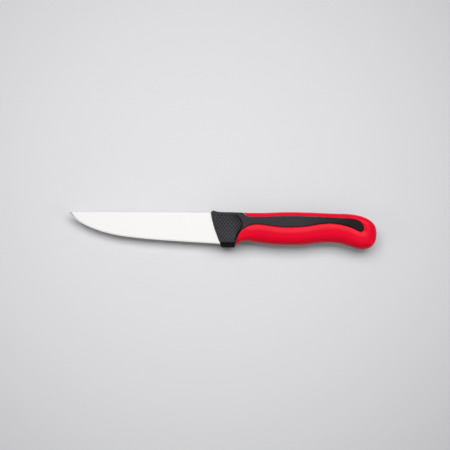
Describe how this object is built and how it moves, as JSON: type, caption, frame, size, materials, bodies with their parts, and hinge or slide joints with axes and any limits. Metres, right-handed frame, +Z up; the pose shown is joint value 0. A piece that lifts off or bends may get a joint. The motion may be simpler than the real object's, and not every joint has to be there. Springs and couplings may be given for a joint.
{
  "type": "meat knife",
  "caption": "Kitchen meat knife with a straight-spined steel blade and a two-colour moulded handle with guard, finger lip and hooked butt.",
  "frame": {"origin": "bottom centre of the bounding box, with the knife lying on its side", "axes": "+X from the tip towards the butt, +Y from the cutting edge towards the spine, +Z up through the knife's thickness"},
  "size_m": [0.263, 0.033, 0.019],
  "materials": {
    "blade_steel": "fine satin grind",
    "core_plastic": "matte black moulding",
    "grip_soft": "satin red soft moulding"
  },
  "bodies": {
    "root": {"blade": "blade_steel", "handle_core": "core_plastic", "grip": "grip_soft"}
  },
  "joints": []
}
